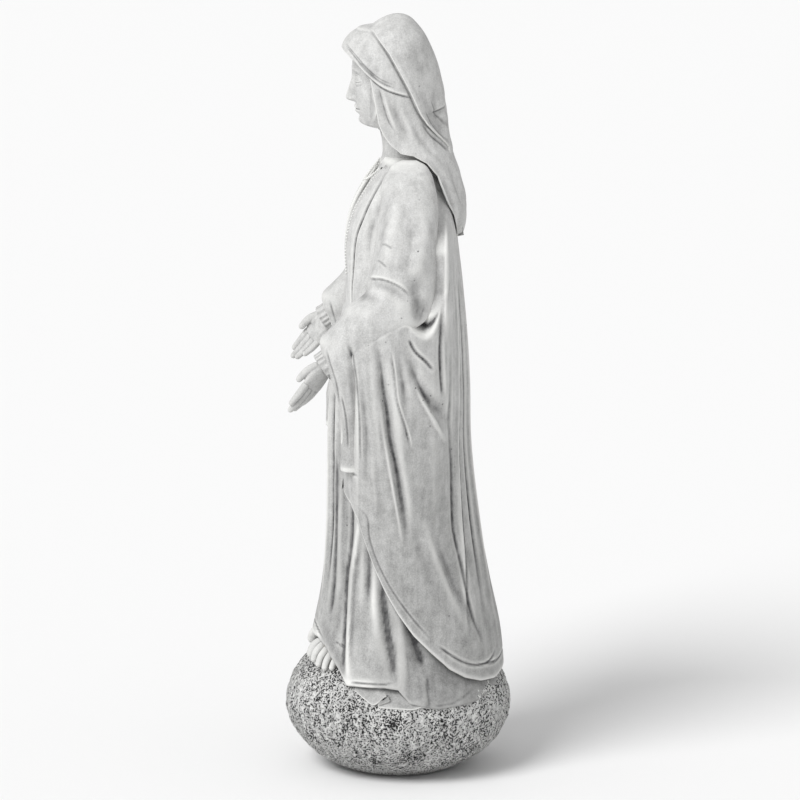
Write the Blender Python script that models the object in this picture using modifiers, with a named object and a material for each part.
"""Garden statue of a robed, veiled woman standing on a globe, in the pieces it is cast and bolted from.

Frame: metres, +Z up, origin under the middle of the globe at the height of its rubber pads' feet.
The figure faces -Y, so its left side is +X. Each cast shell is a closed solid; the pieces under it
are cut out of it with a clearance, so neighbouring solids lie face to face and never overlap.
"""

import math

import bmesh
import bpy
import numpy as np
from mathutils import Matrix, Vector

# ---------------------------------------------------------------- driving dimensions
HEIGHT = 0.860            # pads to the crown of the veil
GLOBE_RADIUS = 0.1276     # the globe's half width
GLOBE_HALF_HEIGHT = 0.0858
GLOBE_CENTRE_Z = 0.0748
GLOBE_WALL = 0.012
GLOBE_FLAT_Z = 0.002      # the globe's flat underside, held off the ground by the pads
GLOBE_MOUTH_RADIUS = 0.042
PAD_RADIUS = 0.006
PAD_GLUE = 0.0002         # the glue line over each pad
PAD_CIRCLE_RADIUS = 0.0525
PAD_COUNT = 4

GAP = 0.0004              # clearance between neighbouring solids
GOWN_WALL = 0.008
BAND = 0.006              # how far the mantle's front edge stands off the gown
HEM_REACH = 0.04          # how far a cutter runs on below the gown's hem
CUT_PAST = 0.002          # how far a cutter runs on past any other end
GLOBE_SIDES, GLOBE_ROWS = 32, 14
GOWN_SIDES, GOWN_ROWS = 26, 14
MANTLE_STEPS, MANTLE_ROWS = 12, 13

ROD_RADIUS = 0.005
ROD_BOTTOM_Z = 0.0028
ROD_TOP_Z = 0.600
PLATE_Z = (0.0132, 0.0162)
WASHER_RADIUS = 0.015
WASHER_Z = (0.0110, 0.0128)
NUT_Z = (0.0034, 0.0106)
NUT_ACROSS_CORNERS = 0.0196

DOWEL_RADIUS = 0.004
DOWEL_Y = 0.004
DOWEL_Z = (0.672, 0.765)
PIN_RADIUS = 0.0021

# The gown's outer surface at each height: (height, front, back, half width).
GOWN = np.array([
    (0.060, -0.106, 0.106, 0.124), (0.090, -0.106, 0.106, 0.123), (0.120, -0.104, 0.100, 0.115),
    (0.150, -0.099, 0.093, 0.107), (0.200, -0.089, 0.083, 0.097), (0.270, -0.082, 0.073, 0.087),
    (0.350, -0.080, 0.066, 0.080), (0.430, -0.078, 0.061, 0.073), (0.490, -0.070, 0.056, 0.064),
    (0.530, -0.063, 0.052, 0.058), (0.570, -0.059, 0.052, 0.061), (0.610, -0.057, 0.053, 0.067),
    (0.645, -0.047, 0.050, 0.068), (0.670, -0.033, 0.043, 0.060), (0.690, -0.021, 0.034, 0.038),
    (0.702, -0.016, 0.028, 0.026),
])
# The gown's hem, by angle from the front in degrees: (angle, height).
GOWN_HEM = np.array([(0, 0.151), (30, 0.145), (60, 0.112), (90, 0.094), (140, 0.092), (180, 0.100)])

# The mantle's outer surface: (height, back, half width, front edge's distance from the middle).
MANTLE = np.array([
    (0.100, 0.1205, 0.1225, 0.080), (0.160, 0.1150, 0.1190, 0.076), (0.220, 0.1030, 0.1150, 0.070),
    (0.300, 0.0890, 0.1120, 0.062), (0.380, 0.0800, 0.1080, 0.054), (0.450, 0.0785, 0.1030, 0.045),
    (0.520, 0.0755, 0.0940, 0.034), (0.580, 0.0700, 0.0860, 0.026), (0.630, 0.0630, 0.0830, 0.024),
    (0.670, 0.0540, 0.0720, 0.026), (0.695, 0.0400, 0.0480, 0.028),
])
# The mantle's hem, by angle from the back round to the front edge in degrees: (angle, height).
MANTLE_HEM = np.array([
    (0, 0.119), (32, 0.115), (46, 0.122), (58, 0.133), (71, 0.160), (90, 0.205),
    (116, 0.251), (130, 0.284), (145, 0.318), (180, 0.332),
])
MANTLE_TOP_Z = 0.695

# The left sleeve, from its hanging tip to the shoulder:
# (height, centre x, centre y, half width, half depth).
SLEEVE = np.array([
    (0.366, 0.1080, -0.050, 0.009, 0.010), (0.372, 0.1080, -0.050, 0.015, 0.016),
    (0.400, 0.1100, -0.048, 0.023, 0.022), (0.450, 0.1130, -0.043, 0.028, 0.031),
    (0.490, 0.1145, -0.038, 0.032, 0.044), (0.520, 0.1140, -0.020, 0.034, 0.050),
    (0.550, 0.1100, -0.004, 0.036, 0.046), (0.580, 0.1040, 0.005, 0.036, 0.040),
    (0.620, 0.0930, 0.008, 0.035, 0.037), (0.660, 0.0790, 0.009, 0.031, 0.033),
    (0.690, 0.0640, 0.010, 0.022, 0.025), (0.704, 0.0560, 0.010, 0.008, 0.012),
])
ELBOW = Vector((0.114, 0.006, 0.548))
WRIST = Vector((0.123, -0.080, 0.488))
MOUTH_RADIUS = 0.0185
MOUTH_DEPTH = 0.026
MOUTH_FLARE = 0.026       # the mouth's radius at its open end
CUFF_RADIUS = 0.0160
CUFF_LENGTH = 0.032
PIN_REACH = (0.052, 0.004)  # how far the hand pin runs back into the sleeve and on into the hand
HAND_TIP = Vector((0.137, -0.1185, 0.433))
PALM_FACING = Vector((-0.66, -0.55, 0.50))
# The left hand from inside the cuff to the fingertips:
# (distance, half width, half thickness, rise towards the palm).
HAND = (
    (-0.010, 0.0100, 0.0095, 0.0), (0.004, 0.0105, 0.0088, 0.0), (0.016, 0.0140, 0.0078, 0.0005),
    (0.030, 0.0155, 0.0066, 0.001), (0.040, 0.0145, 0.0056, 0.001), (0.054, 0.0120, 0.0046, 0.002),
    (0.064, 0.0085, 0.0038, 0.003), (0.0685, 0.0040, 0.0024, 0.0035),
)
# The thumb's root and tip: (along the fingers, across towards the thumb, out of the palm), and its radii.
THUMB = ((0.012, 0.008, 0.002), (0.036, 0.019, 0.008))
THUMB_RADII = (0.0050, 0.0032)

# The left foot's ends, and its shape between them: (share of the length, half width, half thickness).
HEEL = Vector((0.038, -0.052, 0.160))
TOES = Vector((0.062, -0.0930, 0.120))
FOOT = (
    (0.0, 0.0120, 0.0110), (0.35, 0.0150, 0.0110), (0.70, 0.0170, 0.0095), (0.90, 0.0160, 0.0070),
    (1.0, 0.0110, 0.0040),
)

# Head and neck: (height, centre y, half width, half depth).
HEAD = np.array([
    (0.690, 0.008, 0.0195, 0.0200), (0.712, 0.004, 0.0185, 0.0195), (0.728, -0.004, 0.0205, 0.0240),
    (0.738, -0.012, 0.0260, 0.0300), (0.760, -0.010, 0.0350, 0.0420), (0.785, -0.009, 0.0385, 0.0450),
    (0.812, -0.012, 0.0370, 0.0400), (0.832, -0.014, 0.0270, 0.0310), (0.841, -0.015, 0.0130, 0.0150),
])
# The long under-veil, from its tail between the shoulders to the crown:
# (height, centre y, half width, half depth).
UNDER_VEIL = np.array([
    (0.611, 0.0660, 0.016, 0.0060), (0.622, 0.0650, 0.034, 0.0100), (0.645, 0.0560, 0.052, 0.0200),
    (0.670, 0.0400, 0.060, 0.0300), (0.695, 0.0220, 0.056, 0.0420), (0.720, 0.0100, 0.049, 0.0460),
    (0.750, 0.0000, 0.047, 0.0490), (0.780, -0.0080, 0.0475, 0.0520), (0.806, -0.0130, 0.0460, 0.0500),
    (0.828, -0.0170, 0.0380, 0.0430), (0.843, -0.0170, 0.0250, 0.0290), (0.849, -0.0170, 0.0110, 0.0160),
])
# The short over-veil on the back of the head: (height, centre y, half width, half depth).
OVER_VEIL = np.array([
    (0.697, 0.0530, 0.014, 0.0080), (0.706, 0.0480, 0.028, 0.0140), (0.722, 0.0270, 0.045, 0.0330),
    (0.750, 0.0060, 0.053, 0.0490), (0.780, -0.0020, 0.0535, 0.0520), (0.806, -0.0060, 0.0520, 0.0495),
    (0.830, -0.0060, 0.0440, 0.0400), (0.848, -0.0040, 0.0310, 0.0260), (0.8570, -0.0010, 0.0160, 0.0130),
    (HEIGHT, 0.0000, 0.0060, 0.0050),
])

# The face opening reaches back to this depth at each height: (height, y). It ends at the brow.
FACE_OPENING = ((0.680, -0.004), (0.735, -0.012), (0.780, -0.020), (0.8205, -0.060))
# The over-veil's front edge, from the nape to above the crown: (height, y).
OVER_VEIL_EDGE = (
    (0.660, 0.060), (0.722, 0.036), (0.760, 0.018), (0.800, -0.006), (0.846, -0.036), (0.880, -0.060),
)
VEIL_CUT_HALF, VEIL_CUT_FRONT = 0.10, -0.15

STONE = (0.62, 0.62, 0.60)
STEEL = (0.55, 0.56, 0.58)
RUBBER = (0.05, 0.05, 0.05)
FOAM = (0.72, 0.66, 0.45)
CONCRETE = (0.45, 0.44, 0.42)


# ---------------------------------------------------------------- scene and helpers
for leftover in list(bpy.data.objects):
    bpy.data.objects.remove(leftover)

parts = bpy.data.collections.new("madonna_statue")
cutters = bpy.data.collections.new("cutters")
bpy.context.scene.collection.children.link(parts)
bpy.context.scene.collection.children.link(cutters)
cutters.hide_render = True


def make_material(name, colour, roughness, metallic=0.0):
    """A Principled material of one colour."""
    material = bpy.data.materials.new(name)
    material.use_nodes = True
    shader = material.node_tree.nodes["Principled BSDF"]
    shader.inputs["Base Color"].default_value = (*colour, 1.0)
    shader.inputs["Roughness"].default_value = roughness
    shader.inputs["Metallic"].default_value = metallic
    material.diffuse_color = (*colour, 1.0)
    return material


cast_stone = make_material("cast_stone", STONE, 0.85)
rough_stone = make_material("rough_stone", STONE, 0.95)
zinc_steel = make_material("zinc_steel", STEEL, 0.35, 1.0)
black_rubber = make_material("black_rubber", RUBBER, 0.8)
rigid_foam = make_material("rigid_foam", FOAM, 0.9)
ballast_concrete = make_material("ballast_concrete", CONCRETE, 0.95)


def add_object(name, mesh, material):
    """Links a mesh as an object: a part with its material, or a hidden cutter where material is None."""
    obj = bpy.data.objects.new(name, mesh)
    (parts if material else cutters).objects.link(obj)
    if material:
        mesh.materials.append(material)
        mesh.shade_smooth()
        mesh.set_sharp_from_angle(angle=math.radians(40))
    else:
        obj.hide_render = True
        obj.display_type = "WIRE"
    return obj


def cut(obj, *tools, solver="EXACT"):
    """Takes each tool out of obj with a Boolean modifier; MANIFOLD is for closed shapes that EXACT loses."""
    for tool in tools:
        modifier = obj.modifiers.new("cut_" + tool.name, "BOOLEAN")
        modifier.operation = "DIFFERENCE"
        modifier.solver = solver
        modifier.object = tool


def join(obj, *tools):
    """Adds each tool to obj with a Boolean modifier."""
    for tool in tools:
        modifier = obj.modifiers.new("join_" + tool.name, "BOOLEAN")
        modifier.operation = "UNION"
        modifier.solver = "EXACT"
        modifier.object = tool


def at(table, key):
    """The table's other columns at a key in its first column, straight between its rows."""
    return [float(np.interp(key, table[:, 0], table[:, k])) for k in range(1, table.shape[1])]


def smooth_at(table, key):
    """The same, on a smooth curve through the rows."""
    keys = table[:, 0]
    i = int(np.clip(np.searchsorted(keys, key) - 1, 0, len(keys) - 2))
    low, high = max(i - 1, 0), min(i + 2, len(keys) - 1)
    span = keys[i + 1] - keys[i]
    t = float(np.clip((key - keys[i]) / span, 0, 1))
    start_slope = (table[i + 1, 1:] - table[low, 1:]) / (keys[i + 1] - keys[low]) * span
    end_slope = (table[high, 1:] - table[i, 1:]) / (keys[high] - keys[i]) * span
    start, end = table[i, 1:], table[i + 1, 1:]
    value = (
        start * (2 * t**3 - 3 * t**2 + 1) + start_slope * (t**3 - 2 * t**2 + t)
        + end * (-2 * t**3 + 3 * t**2) + end_slope * (t**3 - t**2)
    )
    return value.tolist()


def loft(name, rings, material):
    """A closed solid through rings of equal point counts, lowest ring first, with a fan over each end.

    Each cell is split along the same diagonal, so that a shape and its offset envelope have parallel faces.
    """
    mesh = bpy.data.meshes.new(name)
    work = bmesh.new()
    rows = [[work.verts.new(p) for p in ring] for ring in rings]
    count = len(rings[0])
    for low, high in zip(rows, rows[1:]):
        for j in range(count):
            k = (j + 1) % count
            work.faces.new((low[j], low[k], high[k]))
            work.faces.new((low[j], high[k], high[j]))
    for row, ring in ((rows[0], rings[0]), (rows[-1], rings[-1])):
        middle = work.verts.new(sum((Vector(p) for p in ring), Vector()) / count)
        for j in range(count):
            work.faces.new((row[j], row[(j + 1) % count], middle))
    bmesh.ops.recalc_face_normals(work, faces=work.faces)
    work.to_mesh(mesh)
    work.free()
    return add_object(name, mesh, material)


def drum(name, radius, z_range, material, place=(0.0, 0.0), sides=24):
    """An upright cylinder between two heights."""
    mesh = bpy.data.meshes.new(name)
    work = bmesh.new()
    bmesh.ops.create_cone(
        work, cap_ends=True, segments=sides, radius1=radius, radius2=radius, depth=z_range[1] - z_range[0]
    )
    bmesh.ops.translate(work, verts=work.verts, vec=(*place, (z_range[0] + z_range[1]) / 2))
    work.to_mesh(mesh)
    work.free()
    return add_object(name, mesh, material)


def round_bar(name, start, end, radius, material, sides=16, end_radius=None):
    """A cylinder or cone from one point to another."""
    mesh = bpy.data.meshes.new(name)
    work = bmesh.new()
    along = Vector(end) - Vector(start)
    bmesh.ops.create_cone(
        work, cap_ends=True, segments=sides, radius1=radius,
        radius2=radius if end_radius is None else end_radius, depth=along.length,
    )
    turn = along.to_track_quat("Z", "Y").to_matrix().to_4x4()
    place = Matrix.Translation((Vector(start) + Vector(end)) / 2) @ turn
    bmesh.ops.transform(work, verts=work.verts, matrix=place)
    work.to_mesh(mesh)
    work.free()
    return add_object(name, mesh, material)


def turned(name, profile, material, steps):
    """A ring-shaped solid: a closed profile of (radius, height) points turned about the Z axis."""
    mesh = bpy.data.meshes.new(name)
    points = [(r, 0.0, z) for r, z in profile]
    edges = [(i, (i + 1) % len(points)) for i in range(len(points))]
    mesh.from_pydata(points, edges, [])
    obj = add_object(name, mesh, material)
    screw = obj.modifiers.new("turn", "SCREW")
    screw.axis = "Z"
    screw.steps = screw.render_steps = steps
    screw.use_merge_vertices = False
    screw.use_smooth_shade = True
    return obj


def mirrored(side, point):
    """A point for the left side (side 1) or the right side (side -1)."""
    return Vector((side * point[0], point[1], point[2]))


# ---------------------------------------------------------------- outlines
def gown_point(angle, z, inset=0.0):
    """The gown's surface at an angle from the front and a height, set in by a wall thickness."""
    front, back, half = smooth_at(GOWN, z)
    reach = (back if math.cos(angle) < 0 else -front) - inset
    return ((half - inset) * math.sin(angle), -reach * math.cos(angle), z)


def stretched(rings, drop, lift):
    """The rings with one more below by drop and one above by lift, for a cutter that overshoots."""
    below = [(x, y, z - drop) for x, y, z in rings[0]]
    above = [(x, y, z + lift) for x, y, z in rings[-1]]
    return [below, *rings, above]


def gown_rings(inset=0.0):
    """Rings from the hem to the neck; inset below zero gives the envelope that other pieces are cut by."""
    top = GOWN[-1, 0]
    rings = []
    for i in range(GOWN_ROWS):
        ring = []
        for j in range(GOWN_SIDES):
            angle = 2 * math.pi * j / GOWN_SIDES
            from_front = math.degrees(min(angle, 2 * math.pi - angle))
            hem = at(GOWN_HEM, from_front)[0]
            ring.append(gown_point(angle, hem + (top - hem) * i / (GOWN_ROWS - 1), inset))
        rings.append(ring)
    return rings


def mantle_point(angle_deg, z, outset=0.0):
    """The mantle's left side: 0 at the back, 90 at the side, 180 at its front edge."""
    back, half, edge = smooth_at(MANTLE, z)
    front, _, gown_half = smooth_at(GOWN, z)
    edge = min(edge, 0.8 * gown_half)
    edge_y = front * math.sqrt(1 - (edge / gown_half) ** 2) - BAND
    angle = math.radians(angle_deg)
    if angle_deg <= 90:
        return ((half + outset) * math.sin(angle), (back + outset) * math.cos(angle), z)
    turn = angle - math.pi / 2
    return (edge + (half + outset - edge) * math.cos(turn), (edge_y - outset) * math.sin(turn), z)


def mantle_rings(outset=0.0):
    """Closed rings: the mantle's left side, a crossing inside the gown, and the right side."""
    rings = []
    for i in range(MANTLE_ROWS):
        left = []
        for j in range(MANTLE_STEPS):
            angle = 180 * j / (MANTLE_STEPS - 1)
            hem = at(MANTLE_HEM, angle)[0]
            left.append(mantle_point(angle, hem + (MANTLE_TOP_Z - hem) * i / (MANTLE_ROWS - 1), outset))
        edge = left[-1]
        left.append((0.5 * edge[0], 0.75 * edge[1], edge[2]))
        right = [(-x, y, z) for x, y, z in left[1:]]
        rings.append([*left, *reversed(right)])
    return rings


def oval_rings(table, outset=0.0, sides=22, x_sign=1.0):
    """Rings from a table of (height, centre y, half width, half depth), or with a centre x before y."""
    rings = []
    for z, *values in table.tolist():
        centre_x, centre_y, half, depth = values if len(values) == 4 else (0.0, *values)
        rings.append([
            (
                x_sign * centre_x + (half + outset) * math.sin(a),
                centre_y - (depth + outset) * math.cos(a),
                z,
            )
            for a in (2 * math.pi * j / sides for j in range(sides))
        ])
    if outset:
        rings[0] = [(x, y, z - outset) for x, y, z in rings[0]]
        rings[-1] = [(x, y, z + outset) for x, y, z in rings[-1]]
    return rings


# ---------------------------------------------------------------- base
# The globe's outside runs between these angles up from its middle: its flat underside and the rod's hole.
GLOBE_ARC = (
    math.asin((GLOBE_FLAT_Z - GLOBE_CENTRE_Z) / GLOBE_HALF_HEIGHT),
    math.acos((ROD_RADIUS + GAP) / GLOBE_RADIUS),
)


def oval_arc(radius, half_height, start, end, count):
    """Points (radius, height) on a flattened sphere about the globe's centre, between two angles."""
    return [
        (radius * math.cos(a), GLOBE_CENTRE_Z + half_height * math.sin(a))
        for a in np.linspace(start, end, count)
    ]


def globe_profile():
    """The globe's wall: up its inside from the mouth to the rod's hole, then down its outside."""
    inner_radius = GLOBE_RADIUS - GLOBE_WALL
    mouth = -math.acos(GLOBE_MOUTH_RADIUS / inner_radius)
    hole = math.acos((ROD_RADIUS + GAP) / inner_radius)
    return [
        (GLOBE_MOUTH_RADIUS, GLOBE_FLAT_Z),
        *oval_arc(inner_radius, GLOBE_HALF_HEIGHT - GLOBE_WALL, mouth, hole, 10),
        *oval_arc(GLOBE_RADIUS, GLOBE_HALF_HEIGHT, GLOBE_ARC[1], GLOBE_ARC[0], GLOBE_ROWS),
    ]


def ballast_profile():
    """The ballast: fills the globe inside its wall, with the rod's hole and a flat floor over the plate."""
    hole = ROD_RADIUS + GAP
    mouth = GLOBE_MOUTH_RADIUS - GAP
    inset = GLOBE_WALL + GAP
    radius = GLOBE_RADIUS - inset
    top_angle, low_angle = math.acos(hole / radius), -math.acos(mouth / radius)
    side = oval_arc(radius, GLOBE_HALF_HEIGHT - inset, top_angle, low_angle, 10)
    floor = PLATE_Z[1] + GAP
    return [*side, (mouth, floor), (hole, floor)]


globe_base = turned("globe_base", globe_profile(), rough_stone, GLOBE_SIDES)
ballast_core = turned("ballast_core", ballast_profile(), ballast_concrete, GLOBE_SIDES)

rod_bore = drum("rod_bore", ROD_RADIUS + GAP, (0.0, ROD_TOP_Z + GAP), None)
base_plate = drum("base_plate", GLOBE_MOUTH_RADIUS - GAP, PLATE_Z, zinc_steel, sides=32)
anchor_washer = drum("anchor_washer", WASHER_RADIUS, WASHER_Z, zinc_steel)
anchor_nut = drum("anchor_nut", NUT_ACROSS_CORNERS / 2, NUT_Z, zinc_steel, sides=6)
for fixing in (base_plate, anchor_washer, anchor_nut):
    cut(fixing, rod_bore)

anchor_rod = drum("anchor_rod", ROD_RADIUS, (ROD_BOTTOM_Z, ROD_TOP_Z), zinc_steel)

for index in range(PAD_COUNT):
    turn = math.pi / 4 + 2 * math.pi * index / PAD_COUNT
    spot = (PAD_CIRCLE_RADIUS * math.cos(turn), PAD_CIRCLE_RADIUS * math.sin(turn))
    drum(f"base_pad_{index + 1}", PAD_RADIUS, (0.0, GLOBE_FLAT_Z - PAD_GLUE), black_rubber, spot, sides=20)

# ---------------------------------------------------------------- envelopes that the upper pieces are cut by
def globe_rings(outset):
    """Level rings round the globe at the rows and corners of its own wall, set out by a clearance."""
    rings = []
    for b in np.linspace(*GLOBE_ARC, GLOBE_ROWS):
        radius = (GLOBE_RADIUS + outset) * math.cos(b)
        z = GLOBE_CENTRE_Z + (GLOBE_HALF_HEIGHT + outset) * math.sin(b)
        rings.append([
            (radius * math.cos(a), radius * math.sin(a), z)
            for a in (2 * math.pi * j / GLOBE_SIDES for j in range(GLOBE_SIDES))
        ])
    return rings


globe_envelope = loft("globe_envelope", globe_rings(GAP), None)
gown_envelope = loft("gown_envelope", stretched(gown_rings(-GAP), HEM_REACH, CUT_PAST), None)
gown_hollow = loft("gown_hollow", stretched(gown_rings(GOWN_WALL)[:-1], HEM_REACH, CUT_PAST), None)
mantle_envelope = loft("mantle_envelope", stretched(mantle_rings(GAP), CUT_PAST, CUT_PAST), None)
head_envelope = loft("head_envelope", oval_rings(HEAD, GAP), None)
under_veil_envelope = loft("under_veil_envelope", oval_rings(UNDER_VEIL, GAP), None)
dowel_ends = (DOWEL_Z[0] - GAP, DOWEL_Z[1] + GAP)
dowel_bore = drum("dowel_bore", DOWEL_RADIUS + GAP, dowel_ends, None, (0.0, DOWEL_Y))

# ---------------------------------------------------------------- gown, its core and the mantle
gown = loft("gown", gown_rings(), cast_stone)
cut(gown, gown_hollow, globe_envelope, head_envelope, dowel_bore, solver="MANIFOLD")

core_rings = stretched(gown_rings(GOWN_WALL + GAP)[:-1], GAP, CUT_PAST / 2)
figure_core = loft("figure_core", core_rings, rigid_foam)
cut(figure_core, globe_envelope, rod_bore, dowel_bore, head_envelope, solver="MANIFOLD")

mantle = loft("mantle", mantle_rings(), cast_stone)
cut(mantle, gown_envelope, globe_envelope, under_veil_envelope, solver="MANIFOLD")

# ---------------------------------------------------------------- head and veils
head = loft("head", oval_rings(HEAD), cast_stone)
cut(head, dowel_bore)
neck_dowel = drum("neck_dowel", DOWEL_RADIUS, DOWEL_Z, zinc_steel, (0.0, DOWEL_Y), sides=16)


def space_before(name, edge_line):
    """A cutter that takes away all that lies in front of a line of (height, y)."""
    rings = []
    for z, y in edge_line:
        rings.append([
            (-VEIL_CUT_HALF, VEIL_CUT_FRONT, z), (VEIL_CUT_HALF, VEIL_CUT_FRONT, z),
            (VEIL_CUT_HALF, y, z), (-VEIL_CUT_HALF, y, z),
        ])
    return loft(name, rings, None)


under_veil = loft("under_veil", oval_rings(UNDER_VEIL), cast_stone)
face_opening = space_before("face_opening", FACE_OPENING)
cut(under_veil, head_envelope, gown_envelope, face_opening, solver="MANIFOLD")
over_veil = loft("over_veil", oval_rings(OVER_VEIL), cast_stone)
cut(over_veil, under_veil_envelope, space_before("over_veil_front", OVER_VEIL_EDGE), mantle_envelope)


# ---------------------------------------------------------------- sleeves, cuffs, hands and feet
def hand_axes():
    """The left hand's directions: along its fingers, out of its palm, and across towards its thumb."""
    along = (HAND_TIP - WRIST).normalized()
    palm = (PALM_FACING - along * PALM_FACING.dot(along)).normalized()
    return along, palm, palm.cross(along)


def hand_rings(side, outset=0.0, sides=14):
    """Oval rings from inside the cuff to the fingertips."""
    along, palm, across = hand_axes()
    rings = []
    for distance, half, thick, rise in HAND:
        centre = WRIST + along * distance + palm * rise
        wide, deep = across * (half + outset), palm * (thick + outset)
        rings.append([
            mirrored(side, centre + wide * math.cos(a) + deep * math.sin(a))
            for a in (2 * math.pi * j / sides for j in range(sides))
        ])
    return rings


def make_arm(side, name):
    """One sleeve with its cuff, hand and steel pin."""
    forearm = (WRIST - ELBOW).normalized()
    hand_directions = hand_axes()

    def bar(suffix, start, end, radius, material=None, **shape):
        ends = mirrored(side, start), mirrored(side, end)
        return round_bar(f"{name}_{suffix}", *ends, radius, material, **shape)

    mouth_back = WRIST - forearm * MOUTH_DEPTH
    mouth = bar("mouth", mouth_back, WRIST + forearm * MOUTH_DEPTH, MOUTH_RADIUS, end_radius=MOUTH_FLARE)
    pin_start, pin_end = WRIST - forearm * PIN_REACH[0], WRIST + forearm * PIN_REACH[1]
    bore_ends = pin_start - forearm * GAP, pin_end + forearm * GAP
    pin_bore = bar("pin_bore", *bore_ends, PIN_RADIUS + GAP, sides=12)
    bar("hand_pin", pin_start, pin_end, PIN_RADIUS, zinc_steel, sides=12)

    sleeve = loft(f"{name}_sleeve", oval_rings(SLEEVE, x_sign=side, sides=18), cast_stone)
    cut(sleeve, mantle_envelope, gown_envelope, under_veil_envelope, mouth, pin_bore, solver="MANIFOLD")

    hand = loft(f"{name}_hand", hand_rings(side), cast_stone)
    root, tip = (
        WRIST + sum((axis * reach for axis, reach in zip(hand_directions, (along, rise, across))), Vector())
        for along, across, rise in THUMB
    )
    join(hand, bar("thumb", root, tip, THUMB_RADII[0], sides=10, end_radius=THUMB_RADII[1]))
    cut(hand, pin_bore)

    cuff_start = mouth_back + forearm * GAP
    cuff = bar("cuff", cuff_start, cuff_start + forearm * CUFF_LENGTH, CUFF_RADIUS, cast_stone, sides=18)
    cut(cuff, loft(f"{name}_hand_space", hand_rings(side, GAP), None), pin_bore)


def make_foot(side, name, sides=14):
    """The front of one foot, pointing down the globe from under the hem."""
    along = (TOES - HEEL).normalized()
    across = along.cross(Vector((0, 0, 1))).normalized()
    up = across.cross(along)
    rings = []
    for share, half, thick in FOOT:
        centre = HEEL.lerp(TOES, share)
        rings.append([
            mirrored(side, centre + across * half * math.cos(a) + up * thick * math.sin(a))
            for a in (2 * math.pi * j / sides for j in range(sides))
        ])
    foot = loft(f"{name}_foot", rings, cast_stone)
    cut(foot, globe_envelope, gown_envelope)


for side, name in ((1, "left"), (-1, "right")):
    make_arm(side, name)
    make_foot(side, name)
